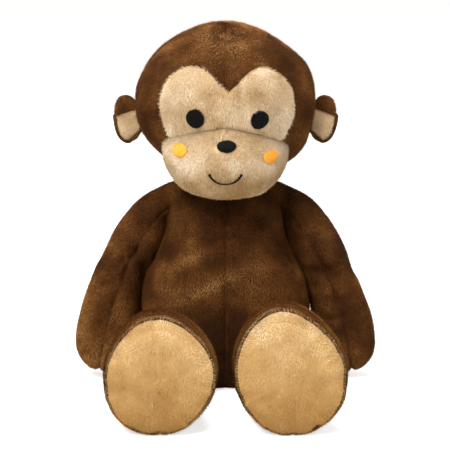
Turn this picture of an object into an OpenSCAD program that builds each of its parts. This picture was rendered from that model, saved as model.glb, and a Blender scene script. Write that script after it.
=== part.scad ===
// Seated plush monkey: brown pile panels over stuffing, tan face, muzzle, inner ears and soles.
// The toy faces -Y, +Z is up, and "left" is the toy's own left, which is the +X side.
// The origin is the middle of the flat seat, where the toy rests on a surface.

/* [Torso] */
// Widest width of the belly
torso_w = 133; // [126:1:136]
// Depth of the belly, front to back
torso_d = 102; // [94:1:108]
// Height of the torso, from the seat to the neck opening
torso_h = 152; // [150:1:154]

/* [Head] */
// Width of the head, side to side
head_w = 135; // [130:1:138]
// Depth of the head, front to back
head_d = 122; // [116:1:128]
// Height of the crown above the middle of the head
crown_h = 62; // [58:1:66]
// Depth of the jaw below the middle of the head
jaw_h = 58; // [54:1:58]
// Height of the middle of the head above the seat
head_z = 216; // [216:1:222]

/* [Muzzle] */
// How far the muzzle stands out of the face
muzzle_out = 25; // [18:1:28]
// Angle of the muzzle below level, seen from the middle of the head
muzzle_drop = 40; // [36:1:42]
// Half the muzzle's width, as an angle at the middle of the head
muzzle_side = 46; // [42:1:48]
// Half the muzzle's height, as an angle at the middle of the head
muzzle_rise = 31; // [28:1:32]

/* [Ears] */
// Reach of an ear from the head
ear_reach = 19; // [16:1:22]
// Height of an ear
ear_h = 35; // [30:1:38]
// Thickness of an ear
ear_t = 9; // [7:0.5:11]

/* [Arms] */
// Thickness of the hand, side to side
hand_w = 45; // [40:1:45]
// Height of the arm's root seam
arm_root_h = 31; // [26:1:32]

/* [Legs] */
// Width of a foot
foot_w = 78; // [72:1:80]
// Height of a foot
foot_h = 87; // [80:1:90]
// Sideways place of a foot's middle
foot_x = 45; // [44:1:48]
// Distance from the middle of the seat to the sole's seam
sole_y = 141; // [136:1:146]

/* [Tail] */
// Thickness of the tail
tail_w = 19; // [15:1:21]

/* [Fabric] */
// Thickness of the plush, pile included
fabric_t = 2.4; // [1.8:0.1:2.8]
// Space between the plush and its stuffing
loft_gap = 1; // [0.9:0.1:1.2]
// Height of the embroidery above the pile's roots
thread_h = 1.2; // [0.8:0.1:1.6]

/* [Hidden] */

brown = [0.36, 0.21, 0.11];
tan = [0.85, 0.70, 0.50];
black = [0.08, 0.07, 0.06];
orange = [0.95, 0.65, 0.22];
white = [0.93, 0.92, 0.88];

// Half the width of the slit between two panels, in degrees round a cross-section
slit = 0.12;
// Angle between the points of the head's seams
head_step = 7.5;
// Radius left open where a panel's points run together
pinch = 0.02;

// ---- Surfaces ----

// Faces of a grid of points with r rows and c columns, the first point having index b
function grid_faces(r, c, b, turned) = [
    for (i = [0:r - 2], j = [0:c - 2])
        let (p = b + i * c + j, q = p + 1, s = p + c, w = s + 1)
        each turned ? [[p, q, s], [q, w, s]] : [[p, s, q], [q, s, w]]
];

// Two faces over the four points of a wall
function wall(a, b, c, d) = [[a, b, c], [a, c, d]];

// A panel of fabric between two grids of points, closed all round its edges
module panel(outer, inner) {
    r = len(outer);
    c = len(outer[0]);
    n = r * c;
    end = (r - 1) * c;
    points = [for (row = concat(outer, inner)) each row];
    faces = concat(
        grid_faces(r, c, 0, false),
        grid_faces(r, c, n, true),
        [for (j = [0:c - 2]) each wall(j, j + 1, j + 1 + n, j + n)],
        [for (j = [end:end + c - 2]) each wall(j + 1, j, j + n, j + 1 + n)],
        [for (i = [0:c:end - 1]) each wall(i + c, i, i + n, i + c + n)],
        [for (i = [c - 1:c:end - 1]) each wall(i, i + c, i + c + n, i + n)]
    );
    polyhedron(points, faces);
}

// A closed solid through a row of rings. wrap joins the last ring to the first.
module loft(rings, wrap = false) {
    m = len(rings);
    n = len(rings[0]);
    first = [for (k = [0:2]) sum(rings[0], k) / n];
    last = [for (k = [0:2]) sum(rings[m - 1], k) / n];
    points = concat([for (ring = rings) each ring], wrap ? [] : [first, last]);
    sides = [
        for (i = [0:(wrap ? m - 1 : m - 2)], j = [0:n - 1])
            let (i2 = (i + 1) % m, j2 = (j + 1) % n)
            each [[i * n + j, i2 * n + j, i * n + j2], [i * n + j2, i2 * n + j, i2 * n + j2]]
    ];
    caps = wrap ? [] : [
        for (j = [0:n - 1])
            let (j2 = (j + 1) % n, end = (m - 1) * n)
            each [[m * n, j, j2], [m * n + 1, end + j2, end + j]]
    ];
    polyhedron(points, concat(sides, caps));
}

// Sum of coordinate k over a list of points
function sum(list, k, i = 0) = i == len(list) ? 0 : list[i][k] + sum(list, k, i + 1);

function unit(v) = v / norm(v);

// Cosine and sine drawn out towards a rounded box, power 2 being a plain ellipse
function boxy(c, power) = sign(c) * pow(abs(c), 2 / power);

// Values from a to b in n equal steps, and the same with each end drawn in by gap
function steps(a, b, n) = [for (i = [0:n]) a + (b - a) * i / n];
function inside(a, b, n, gap) = steps(a + sign(b - a) * gap, b - sign(b - a) * gap, n);

// A point and a direction on a cubic curve with the end points and handles in p
function curve(p, t) =
    pow(1 - t, 3) * p[0] + 3 * t * pow(1 - t, 2) * p[1] + 3 * t * t * (1 - t) * p[2] + pow(t, 3) * p[3];
function heading(p, t) =
    unit(pow(1 - t, 2) * (p[1] - p[0]) + 2 * t * (1 - t) * (p[2] - p[1]) + t * t * (p[3] - p[2]));

// ---- Torso ----

// Half-width and half-depth of the torso as shares of the belly's, against height above the seat
torso_side = [
    [0, 0.76], [4, 0.86], [12, 0.945], [25, 0.99], [42, 1], [65, 0.94], [85, 0.845],
    [105, 0.70], [118, 0.645], [134, 0.60], [143, 0.53], [149, 0.43], [torso_h, 0.33]
];
torso_fore = [
    [0, 0.74], [4, 0.84], [12, 0.93], [25, 0.985], [42, 1], [65, 0.96], [85, 0.88],
    [105, 0.78], [118, 0.72], [134, 0.64], [143, 0.56], [149, 0.47], [torso_h, 0.38]
];
torso_levels = [for (row = torso_side) row[0]];
torso_power = 2.15;
torso_columns = 8;

function torso_point(z, a, inset) = [
    (torso_w / 2 * lookup(z, torso_side) - inset) * boxy(cos(a), torso_power),
    (torso_d / 2 * lookup(z, torso_fore) - inset) * boxy(sin(a), torso_power),
    z
];
function torso_rows(from, to, inset) = [
    for (z = torso_levels) [for (a = inside(from, to, torso_columns, slit)) torso_point(z, a, inset)]
];

// One of the four panels that meet at the centre seams and the side seams
module torso_panel(from, to) {
    color(brown) panel(torso_rows(from, to, 0), torso_rows(from, to, fabric_t));
}

// Space between the seat panel and the rim of the torso panels
seat_gap = 0.2;
seat_points = 48;

// The oval of fabric under the toy that it rests on
module seat_panel() {
    color(brown) linear_extrude(fabric_t)
        polygon([
            for (a = steps(0, 360 - 360 / seat_points, seat_points - 1))
                let (p = torso_point(0, a, fabric_t + seat_gap)) [p.x, p.y]
        ]);
}

// Height of the bag of pellets above the seat panel
bag_top = 34;
stuffing_top = 140;
stuffing_columns = 32;

module torso_filling(levels, shade) {
    color(shade) loft([
        for (z = levels)
            [for (j = [0:stuffing_columns - 1]) torso_point(z, j * 360 / stuffing_columns, fabric_t + loft_gap)]
    ]);
}
// The bag of plastic pellets that weighs the seat down
module pellet_bag() {
    torso_filling([fabric_t + 0.3, 6, 12, 22, bag_top], white);
}
module torso_stuffing() {
    torso_filling([bag_top + 0.3, 42, 65, 85, 105, 118, 134, stuffing_top], white);
}

// ---- Neck ----

neck_r = 15.5;
neck_low = 141;
neck_high = 155.5;
neck_rim = 149;

// The plug of stuffing that passes from the torso into the head
module neck_core() {
    color(white) rotate_extrude()
        polygon([[0, neck_low], [neck_r, neck_low], [neck_r, neck_rim], [neck_r * 0.7, 153], [0, neck_high]]);
}

// ---- Head ----

head_c = [0, -2, head_z];
// The head's own directions: out of the muzzle, to the toy's left, and up across the face
muzzle_dir = [0, -cos(muzzle_drop), -sin(muzzle_drop)];
face_up = [0, -sin(muzzle_drop), cos(muzzle_drop)];
face_side = [1, 0, 0];

// Direction at angle away from the muzzle's middle, turned by turn round it
function face_dir(away, turn) =
    muzzle_dir * cos(away) + (face_side * cos(turn) + face_up * sin(turn)) * sin(away);

function head_r(d) =
    1 / norm([2 * d.x / head_w, 2 * d.y / head_d, d.z / (d.z > 0 ? crown_h : jaw_h)]);
function head_point(d, inset) = head_c + d * (head_r(d) - inset);

// Angle from the muzzle's middle to the muzzle's seam
muzzle_power = 2.05;
function muzzle_edge(turn) = pow(
    pow(abs(cos(turn)) / muzzle_side, muzzle_power) + pow(abs(sin(turn)) / muzzle_rise, muzzle_power),
    -1 / muzzle_power
);
// Angle from the muzzle's middle to the heart-shaped top of the mask, against the angle off the centre line
heart = [[0, 53.5], [7.5, 60], [15, 69.5], [22.5, 75], [37.5, 77], [52.5, 71], [64, 61.5], [74, 51], [82, 46]];
// Where the mask runs out against the muzzle
mask_end = 7.5;
mask_least = 0.8;
function mask_edge(turn) =
    turn < mask_end / 2 || turn > 180 - mask_end / 2 ? 0
    : max(lookup(abs(turn - 90), heart), muzzle_edge(turn) + mask_least);
// Angle at which the side seam is met, in the plane through the middle of the head and the ears
function side_edge(turn) = atan2(cos(muzzle_drop), -sin(muzzle_drop) * sin(turn));

head_turns = 24;
brow_rows = 6;
mask_rows = 4;

// One of the two brown panels from the face to the side seam
module head_front() {
    function row(k, inset) = [
        for (turn = inside(90, -90, head_turns, slit / 2))
            let (
                start = max(muzzle_edge(turn), mask_edge(turn)) + slit,
                away = start + (side_edge(turn) - slit - start) * k
            )
            head_point(face_dir(away, turn), inset)
    ];
    color(brown) panel(
        [for (k = steps(0, 1, brow_rows)) row(k, 0)],
        [for (k = steps(0, 1, brow_rows)) row(k, fabric_t)]
    );
}

back_turns = 14;
// One of the two brown panels behind the side seam
module head_back() {
    function dir(away, turn) = [sin(away) * cos(turn), cos(away), sin(away) * sin(turn)];
    function row(away, inset) = [
        for (turn = inside(-90, 90, back_turns, slit)) head_point(dir(away, turn), inset)
    ];
    rings = [0.5, 12, 28, 44, 60, 75, 90 - slit];
    color(brown) panel([for (r = rings) row(r, 0)], [for (r = rings) row(r, fabric_t)]);
}

// The tan heart of fabric above the muzzle
module face_mask() {
    function row(k, inset) = [
        for (turn = [180 - mask_end:-head_step:mask_end])
            let (start = muzzle_edge(turn) + slit, end = mask_edge(turn) - slit)
            head_point(face_dir(start + (end - start) * k, turn), inset)
    ];
    color(tan) panel(
        [for (k = steps(0, 1, mask_rows)) row(k, 0)],
        [for (k = steps(0, 1, mask_rows)) row(k, fabric_t)]
    );
}

// A point of the muzzle: share 0 is its middle and 1 its seam
function muzzle_point(share, turn, inset) =
    head_point(face_dir(muzzle_edge(turn) * share * (1 - inset / 70), turn), 0)
    + muzzle_dir * (muzzle_out * sqrt(max(0, 1 - pow(share, 2.6))) - inset);

muzzle_shares = [1, 0.985, 0.93, 0.8, 0.6, 0.35, 0.12, pinch];
// The tan dome of fabric that makes the muzzle
module muzzle() {
    function ring(share, inset) = [
        for (turn = [0:head_step:359.9]) muzzle_point(share, turn, inset)
    ];
    color(tan) loft(
        concat(
            [for (s = muzzle_shares) ring(s, 0)],
            [for (i = [len(muzzle_shares) - 1:-1:0]) ring(muzzle_shares[i], fabric_t)]
        ),
        wrap = true
    );
}

head_rings = [3, 15, 30, 45, 60, 75, 90, 105, 120, 135, 150, 165, 177];
module head_stuffing() {
    color(white) loft([
        for (away = head_rings) [
            for (turn = [0:15:345])
                head_point([sin(away) * cos(turn), cos(away), sin(away) * sin(turn)], fabric_t + loft_gap)
        ]
    ]);
}

// The stuffing between the front of the head's own stuffing and the muzzle
module muzzle_stuffing() {
    shares = [0.93, 0.85, 0.7, 0.5, 0.25, 0.05];
    function floor_ring(share) = [
        for (turn = [0:15:345]) head_point(face_dir(muzzle_edge(turn) * share, turn), fabric_t)
    ];
    function top_ring(share) = [
        for (turn = [0:15:345]) muzzle_point(share, turn, fabric_t + loft_gap)
    ];
    color(white) loft(concat(
        [for (i = [len(shares) - 1:-1:0]) floor_ring(shares[i])],
        [for (s = shares) top_ring(s)]
    ));
}

// ---- Embroidery ----

thread_depth = 0.7;
pad_points = 20;

// A low pad of thread: place(k, a, h) is the point at share k of its radius, angle a and height h
module pad(place) {
    function ring(k, h) = [for (j = [0:pad_points - 1]) place(k, j * 360 / pad_points, h)];
    loft([
        ring(0.1, -thread_depth), ring(0.6, -thread_depth), ring(1, -thread_depth),
        ring(1, thread_h * 0.4), ring(0.7, thread_h), ring(0.1, thread_h)
    ]);
}

eye_w = 13.2;
eye_h = 14.4;
eye_side = 22.4;
eye_fore = -56;
eye_up = -5;
// An oval eye of black satin stitch, on the left
module eye() {
    middle = unit([eye_side, eye_fore, eye_up]);
    across = unit(cross([0, 0, 1], middle));
    up = cross(middle, across);
    reach = head_r(middle);
    color(black) pad(function (k, a, h)
        head_point(unit(middle * reach + k * (across * cos(a) * eye_w + up * sin(a) * eye_h) / 2), -h));
}

// A point of the muzzle at a distance to the side and up from its middle, and a height above it
function on_muzzle(side, up, h) =
    let (turn = atan2(up, side), away = norm([side, up]) / (head_d / 2) * 180 / PI)
    muzzle_point(away / muzzle_edge(turn), turn, -h);

nose_w = 13.5;
nose_h = 7;
nose_up = 28;
module nose() {
    color(black) pad(function (k, a, h)
        on_muzzle(k * nose_w / 2 * cos(a), nose_up + k * nose_h / 2 * sin(a), h));
}

cheek_w = 10.2;
cheek_side = 33;
cheek_up = 14;
module cheek() {
    color(orange) pad(function (k, a, h)
        on_muzzle(cheek_side + k * cheek_w / 2 * cos(a), cheek_up + k * cheek_w / 2 * sin(a), h));
}

smile_w = 24;
smile_drop = 6.5;
smile_up = 9.5;
smile_t = 1.3;
smile_steps = 12;
// The mouth: one curved line of back stitch
module smile() {
    color(black) loft([
        for (k = steps(-1, 1, smile_steps)) [
            for (a = [300:-60:0])
                on_muzzle(
                    k * smile_w / 2,
                    smile_up - smile_drop * (1 - k * k) + smile_t / 2 * sin(a),
                    smile_t / 2 * cos(a)
                )
        ]
    ]);
}

// ---- Ears ----

ear_z = head_z - 11.5;
ear_root = head_w / 2 * 0.974;
ear_lean = 7;
ear_columns = 24;
// Rings of an ear at depth y, its outline drawn in by inset
function ear_ring(y, inset) = [
    for (j = [0:ear_columns - 1])
        let (a = j * 360 / ear_columns, c = boxy(cos(a), 2.2), s = boxy(sin(a), 2.2))
        [ear_reach / 2 + (ear_reach / 2 - inset) * c, y, (ear_h / 2 - inset) * s]
];
module ear_place() {
    translate([ear_root, 0, ear_z]) rotate([0, ear_lean, 0]) children();
}
ear_split = 1.5;
// The brown back of an ear, which rolls round to the rim
module ear_back() {
    color(brown) ear_place() loft([
        ear_ring(ear_t / 2 - 0.5, 6), ear_ring(ear_t / 2 - 2, 2), ear_ring(ear_t / 2 - 4, 0),
        ear_ring(-ear_split, 0), ear_ring(-ear_split - 1, 1)
    ]);
}
// The tan front of an ear
module ear_front() {
    color(tan) ear_place() loft([
        ear_ring(-ear_split - 1.15, 1.6), ear_ring(-ear_t / 2 - 0.2, 3.6), ear_ring(-ear_t / 2 - 0.8, 7)
    ]);
}

// ---- Arms ----

arm_path = [[43.6, 0, 134], [66, -1, 126], [88, -4, 84], [93.5, -6, 25]];
arm_thick = [[0, arm_root_h / 2], [0.15, 16.5], [0.35, 17.3], [0.6, 19.8], [0.85, hand_w / 2], [1, 21]];
arm_deep = [[0, 11], [0.15, 15], [0.35, 17], [0.6, 18.5], [1, 18]];
arm_steps = 9;
arm_tip = 20.5;
tip_angles = [25, 48, 68, 84, 89.5];
arm_columns = 8;
arm_settle = 0.3;

// Up across the arm: along the torso's side at the root, then square to the arm's path
function arm_up(t) =
    let (k = min(1, t / arm_settle), d = heading(arm_path, t))
    unit([-0.08, 0, 1] * (1 - k) + cross(d, [0, 1, 0]) * k);
function arm_point(t, tip, a, inset) =
    curve(arm_path, t) + heading(arm_path, t) * (arm_tip - inset) * sin(tip)
    + (arm_up(t) * (lookup(t, arm_thick) - inset) * sin(a)
    + [0, 1, 0] * (lookup(t, arm_deep) - inset) * cos(a)) * cos(tip);
// Stations along the arm: share of the path, and angle round the rounded hand
function arm_stations(start) = concat(
    [for (t = steps(start, 1, arm_steps)) [t, 0]],
    [for (tip = tip_angles) [1, tip]]
);

// Half of the arm's cover, from the root seam round the hand, between the seams down its front and back
module arm_panel(from, to) {
    function rows(inset) = [
        for (s = arm_stations(0))
            [for (a = inside(from, to, arm_columns, slit * 2)) arm_point(s[0], s[1], a, inset)]
    ];
    color(brown) panel(rows(0), rows(fabric_t));
}
module arm_stuffing() {
    color(white) loft([
        for (s = arm_stations(0.03))
            [for (a = [0:22.5:337.5]) arm_point(s[0], s[1], a, fabric_t + loft_gap)]
    ]);
}

// ---- Legs ----

// Stations along a leg: distance in front of the seat's middle, half-width, half-height, sideways place
leg_rows = [
    [50, 20, 4, 39], [56, 23, 14, 39.5], [66, 25, 21.5, 40], [80, 26, 25, 41], [94, 28, 28.5, 42.5],
    [105, 32.5, 34, 43.8], [115, foot_w * 0.475, foot_h * 0.465, foot_x],
    [125, foot_w * 0.498, foot_h * 0.495, foot_x], [133, foot_w / 2, foot_h / 2, foot_x],
    [139, foot_w * 0.497, foot_h * 0.497, foot_x], [sole_y, foot_w * 0.483, foot_h * 0.485, foot_x]
];
// Lowest point of a leg, and of the flat end that is sewn to the torso
leg_floor = 0.3;
root_floor = 22;
leg_columns = 10;
function leg_bottom(row) = row[2] < 5 ? root_floor : row[2] < 15 ? 11.5 : row[2] < 22 ? 4 : leg_floor;
function leg_point(row, a, inset) = [
    row[3] + (row[1] - inset) * boxy(cos(a), 2.15),
    -row[0],
    leg_bottom(row) + row[2] + (row[2] - inset) * boxy(sin(a), 2.15)
];

// Half of a leg's cover, between the seams along its top and its underside
module leg_panel(from, to) {
    function rows(inset) = [
        for (row = leg_rows)
            [for (a = inside(from, to, leg_columns, slit)) leg_point(row, a, inset)]
    ];
    color(brown) panel(rows(0), rows(fabric_t));
}
module leg_stuffing() {
    color(white) loft([
        for (row = leg_rows)
            [for (a = [0:15:345]) leg_point(row, a, min(fabric_t + loft_gap, row[2] - 0.4))]
    ]);
}

sole_gap = 0.15;
sole_dome = 3;
// The tan sole: an oval, slightly domed, set into the foot's edge
module sole() {
    row = leg_rows[len(leg_rows) - 1];
    function ring(k, out) = [
        for (a = [0:10:350])
            let (p = leg_point(row, a, sole_gap))
            [row[3] + (p.x - row[3]) * k, -sole_y - sole_gap - out, leg_floor + row[2] + (p.z - leg_floor - row[2]) * k]
    ];
    color(tan) loft([
        ring(0.1, 0), ring(0.97, 0), ring(1, fabric_t * 0.4), ring(0.93, fabric_t),
        ring(0.7, fabric_t + sole_dome * 0.7), ring(0.1, fabric_t + sole_dome)
    ]);
}

// ---- Tail ----

tail_path = [[0, 51, 21], [0, 84, 15], [14, 110, tail_w / 2 + 0.6], [58, 100, tail_w / 2 + 0.6]];
tail_steps = 10;
tail_tips = [30, 60, 88];
tail_columns = 7;
tail_wide = [[0, 2.5], [0.12, 7], [0.3, tail_w / 2], [1, tail_w / 2]];
tail_high = [[0, 10], [0.15, 10], [0.3, tail_w / 2], [1, tail_w / 2]];
function tail_point(t, tip, a, inset) =
    let (d = heading(tail_path, t), side = unit(cross(d, [0, 0, 1])))
    curve(tail_path, t) + d * (tail_w / 2 - inset) * sin(tip)
    + (side * max(0.4, lookup(t, tail_wide) - inset) * cos(a)
    + cross(side, d) * (lookup(t, tail_high) - inset) * sin(a)) * cos(tip);
function tail_stations(start) = concat(
    [for (t = steps(start, 1, tail_steps)) [t, 0]],
    [for (tip = tail_tips) [1, tip]]
);
// Half of the tail's cover, between the seams along its top and its underside
module tail_panel(from, to) {
    function rows(inset) = [
        for (s = tail_stations(0.02))
            [for (a = inside(from, to, tail_columns, slit * 3)) tail_point(s[0], s[1], a, inset)]
    ];
    color(brown) panel(rows(0), rows(1.8));
}
module tail_stuffing() {
    color(white) loft([
        for (s = tail_stations(0.1))
            [for (a = [0:30:330]) tail_point(s[0], s[1], -a, 1.8 + loft_gap)]
    ]);
}

module other_side() {
    mirror([1, 0, 0]) children();
}

torso_panel(-90, 0);  // torso_front_left
torso_panel(180, 270);  // torso_front_right
torso_panel(0, 90);  // torso_back_left
torso_panel(90, 180);  // torso_back_right
seat_panel();
torso_stuffing();
pellet_bag();
neck_core();
head_front();  // head_front_left
other_side() head_front();  // head_front_right
head_back();  // head_back_left
other_side() head_back();  // head_back_right
face_mask();
muzzle();
head_stuffing();
muzzle_stuffing();
eye();  // eye_left
other_side() eye();  // eye_right
nose();
smile();
cheek();  // cheek_left
other_side() cheek();  // cheek_right
ear_back();  // ear_left_back
ear_front();  // ear_left_front
other_side() ear_back();  // ear_right_back
other_side() ear_front();  // ear_right_front
arm_panel(0, 180);  // arm_left_outer
arm_panel(180, 360);  // arm_left_inner
arm_stuffing();  // arm_left_stuffing
other_side() arm_panel(0, 180);  // arm_right_outer
other_side() arm_panel(180, 360);  // arm_right_inner
other_side() arm_stuffing();  // arm_right_stuffing
leg_panel(90, 270);  // leg_left_inner
leg_panel(-90, 90);  // leg_left_outer
leg_stuffing();  // leg_left_stuffing
sole();  // sole_left
other_side() leg_panel(90, 270);  // leg_right_inner
other_side() leg_panel(-90, 90);  // leg_right_outer
other_side() leg_stuffing();  // leg_right_stuffing
other_side() sole();  // sole_right
tail_panel(90, -90);  // tail_left
tail_panel(270, 90);  // tail_right
tail_stuffing();
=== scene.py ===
import math

import bpy
import numpy as np
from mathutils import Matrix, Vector


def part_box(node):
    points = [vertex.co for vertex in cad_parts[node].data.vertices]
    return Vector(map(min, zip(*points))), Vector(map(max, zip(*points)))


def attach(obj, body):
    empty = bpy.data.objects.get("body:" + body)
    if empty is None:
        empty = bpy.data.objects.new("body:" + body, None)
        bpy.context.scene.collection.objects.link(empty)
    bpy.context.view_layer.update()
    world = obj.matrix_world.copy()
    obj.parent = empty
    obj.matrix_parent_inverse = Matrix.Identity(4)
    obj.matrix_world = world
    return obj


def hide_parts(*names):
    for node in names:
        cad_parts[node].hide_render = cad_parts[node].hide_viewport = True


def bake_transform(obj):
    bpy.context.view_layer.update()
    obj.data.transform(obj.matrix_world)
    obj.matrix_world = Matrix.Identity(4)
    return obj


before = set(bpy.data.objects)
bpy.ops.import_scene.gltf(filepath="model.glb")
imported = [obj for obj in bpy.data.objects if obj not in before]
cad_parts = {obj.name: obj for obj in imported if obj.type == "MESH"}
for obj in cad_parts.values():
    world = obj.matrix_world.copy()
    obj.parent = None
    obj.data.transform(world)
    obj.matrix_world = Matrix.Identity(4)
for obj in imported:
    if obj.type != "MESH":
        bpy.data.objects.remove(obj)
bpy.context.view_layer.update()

# ---- Camera, light and floor ----------------------------------------------------------------
# The toy sits on a pale floor in soft studio light. The camera looks at its belly from the
# front, a little above level.
aim = Vector((-0.0003, -0.030, 0.1265))
camera_rise = math.radians(12.2)
camera_distance = 1.068
camera = bpy.data.objects.new("camera", bpy.data.cameras.new("camera"))
camera.data.lens = 113.6
camera.data.sensor_width = 36
camera.data.clip_end = 20
camera.location = aim + camera_distance * Vector((0, -math.cos(camera_rise), math.sin(camera_rise)))
camera.rotation_euler = (math.pi / 2 - camera_rise, 0, 0)
bpy.context.scene.collection.objects.link(camera)
bpy.context.scene.camera = camera


def soft_light(name, place, size, power, colour):
    """A square area light that faces the toy's middle."""
    data = bpy.data.lights.new(name, "AREA")
    data.size = size
    data.energy = power
    data.color = colour
    light = bpy.data.objects.new(name, data)
    light.location = place
    light.rotation_euler = (aim - Vector(place)).to_track_quat("-Z", "Y").to_euler()
    bpy.context.scene.collection.objects.link(light)


soft_light("key", (-0.55, -0.9, 1.3), 0.6, 26, (1.0, 0.97, 0.92))
soft_light("fill", (0.95, -0.85, 0.75), 0.9, 3, (1.0, 0.97, 0.93))
soft_light("top", (-0.05, 0.05, 1.4), 0.7, 27, (1.0, 0.98, 0.94))

world = bpy.data.worlds.new("studio")
world.use_nodes = True
world.node_tree.nodes["Background"].inputs["Color"].default_value = (1.0, 0.99, 0.975, 1)
seen_directly = world.node_tree.nodes.new("ShaderNodeLightPath")
sky_light, sky_seen = 0.36, 1.04
strength = world.node_tree.nodes.new("ShaderNodeMath")
strength.operation = "MULTIPLY_ADD"
strength.inputs[1].default_value = sky_seen - sky_light
strength.inputs[2].default_value = sky_light
world.node_tree.links.new(seen_directly.outputs["Is Camera Ray"], strength.inputs[0])
world.node_tree.links.new(strength.outputs[0], world.node_tree.nodes["Background"].inputs["Strength"])
bpy.context.scene.world = world
bpy.context.scene.view_settings.view_transform = "Standard"


def floor_material():
    """Plain white paper. Its added glow is seen by the camera only, and doesn't light the toy."""
    material = bpy.data.materials.new("paper_floor")
    material.use_nodes = True
    shader = material.node_tree.nodes["Principled BSDF"]
    seen = material.node_tree.nodes.new("ShaderNodeLightPath")
    material.node_tree.links.new(seen.outputs["Is Camera Ray"], shader.inputs["Emission Strength"])
    shader.inputs["Base Color"].default_value = (0.80, 0.79, 0.77, 1)
    shader.inputs["Roughness"].default_value = 0.9
    shader.inputs["Emission Color"].default_value = (0.70, 0.70, 0.695, 1)
    return material


floor_half = 6.0
floor_mesh = bpy.data.meshes.new("floor")
floor_mesh.from_pydata(
    [(-floor_half, -floor_half, 0), (floor_half, -floor_half, 0),
     (floor_half, floor_half, 0), (-floor_half, floor_half, 0)], [], [(0, 1, 2, 3)])
floor = bpy.data.objects.new("floor", floor_mesh)
floor.data.materials.append(floor_material())
bpy.context.scene.collection.objects.link(floor)

# ---- Torso ----------------------------------------------------------------------------------
# A pear of four brown plush panels, sewn inside out along the front, back and sides, turned and
# stuffed. The cloth is simulated: it swells between its seams, which stay where they are sewn.
MM = 0.001


def span(*nodes):
    """Lowest and highest corner of some CAD nodes together, in millimetres."""
    corners = [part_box(node) for node in nodes]
    low = np.min([np.array(c[0]) for c in corners], axis=0)
    high = np.max([np.array(c[1]) for c in corners], axis=0)
    return low / MM, high / MM


def unit(v):
    return v / np.maximum(np.linalg.norm(v, axis=-1, keepdims=True), 1e-9)


def boxy(c, power):
    """Cosine or sine drawn out towards a rounded box."""
    return np.sign(c) * np.abs(c) ** (2 / power)


def cloudy(points, size, seed):
    """Soft random values from -1 to 1 over points, in clumps about size across."""
    p = np.asarray(points, float) / size + seed * 17.31
    base = np.floor(p).astype(np.int64)
    f = p - base
    f = f * f * (3 - 2 * f)
    total = np.zeros(p.shape[:-1])
    for corner in range(8):
        step = np.array([corner & 1, corner >> 1 & 1, corner >> 2 & 1])
        q = base + step
        mixed = (q[..., 0] * 73856093) ^ (q[..., 1] * 19349663) ^ (q[..., 2] * 83492791) ^ (seed * 6971)
        value = ((mixed * 2654435761) % 65536) / 32768.0 - 1
        total += value * np.prod(np.where(step, f, 1 - f), axis=-1)
    return total


def finer(grid, times, wrap):
    """A grid of points drawn times finer both ways on smooth curves; wrap closes its columns."""
    def along(rows, closed):
        n = len(rows)
        count = n * times if closed else (n - 1) * times + 1
        t = np.arange(count) / times
        i = np.floor(t).astype(int)
        f = (t - i)[:, None, None]
        if closed:
            a, b, c, d = (rows[(i + k) % n] for k in (-1, 0, 1, 2))
        else:
            padded = np.concatenate([2 * rows[:1] - rows[1:2], rows, 2 * rows[-1:] - rows[-2:-1]])
            padded = np.concatenate([padded, padded[-1:]])
            a, b, c, d = (padded[i + k] for k in (0, 1, 2, 3))
        return 0.5 * (2 * b + (c - a) * f + (2 * a - 5 * b + 4 * c - d) * f ** 2
                      + (3 * b - a - 3 * c + d) * f ** 3)
    grid = along(grid, False)
    return along(grid.transpose(1, 0, 2), wrap).transpose(1, 0, 2)


def facing(grid, wrap):
    """Unit normals of a grid of points, out of the cloth where columns run anticlockwise."""
    down = np.gradient(grid, axis=0)
    if wrap:
        across = (np.roll(grid, -1, 1) - np.roll(grid, 1, 1)) / 2
    else:
        across = np.gradient(grid, axis=1)
    return unit(np.cross(across, down))


def turned_out(grid, wrap, middle=None):
    """The same cloth with its columns in the order that makes it face away from a point, or from
    the middle of each of its rings."""
    away = grid - (grid.mean(1, keepdims=True) if middle is None else np.array(middle))
    return grid if (facing(grid, wrap) * away).sum() > 0 else grid[:, ::-1]


def new_mesh(name, points, faces, materials, tones=None, smooth=True):
    """A mesh object from points in millimetres and faces of one size."""
    mesh = bpy.data.meshes.new(name)
    count, corners = faces.shape
    mesh.vertices.add(len(points))
    mesh.vertices.foreach_set("co", (np.asarray(points) * MM).astype(np.float32).ravel())
    mesh.loops.add(count * corners)
    mesh.loops.foreach_set("vertex_index", faces.astype(np.int32).ravel())
    mesh.polygons.add(count)
    mesh.polygons.foreach_set("loop_start", np.arange(0, count * corners, corners, dtype=np.int32))
    for material in materials:
        mesh.materials.append(material)
    if tones is not None:
        mesh.polygons.foreach_set("material_index", tones.astype(np.int32))
    mesh.polygons.foreach_set("use_smooth", np.full(count, smooth))
    mesh.update(calc_edges=True)
    mesh.validate()
    piece = bpy.data.objects.new(name, mesh)
    bpy.context.scene.collection.objects.link(piece)
    return piece


def grid_faces(rows, cols, wrap):
    """Four-sided faces over a grid of points."""
    i, j = np.meshgrid(np.arange(rows - 1), np.arange(cols if wrap else cols - 1), indexing="ij")
    j2 = (j + 1) % cols
    return np.stack([i * cols + j, i * cols + j2, (i + 1) * cols + j2, (i + 1) * cols + j], -1).reshape(-1, 4)


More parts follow.
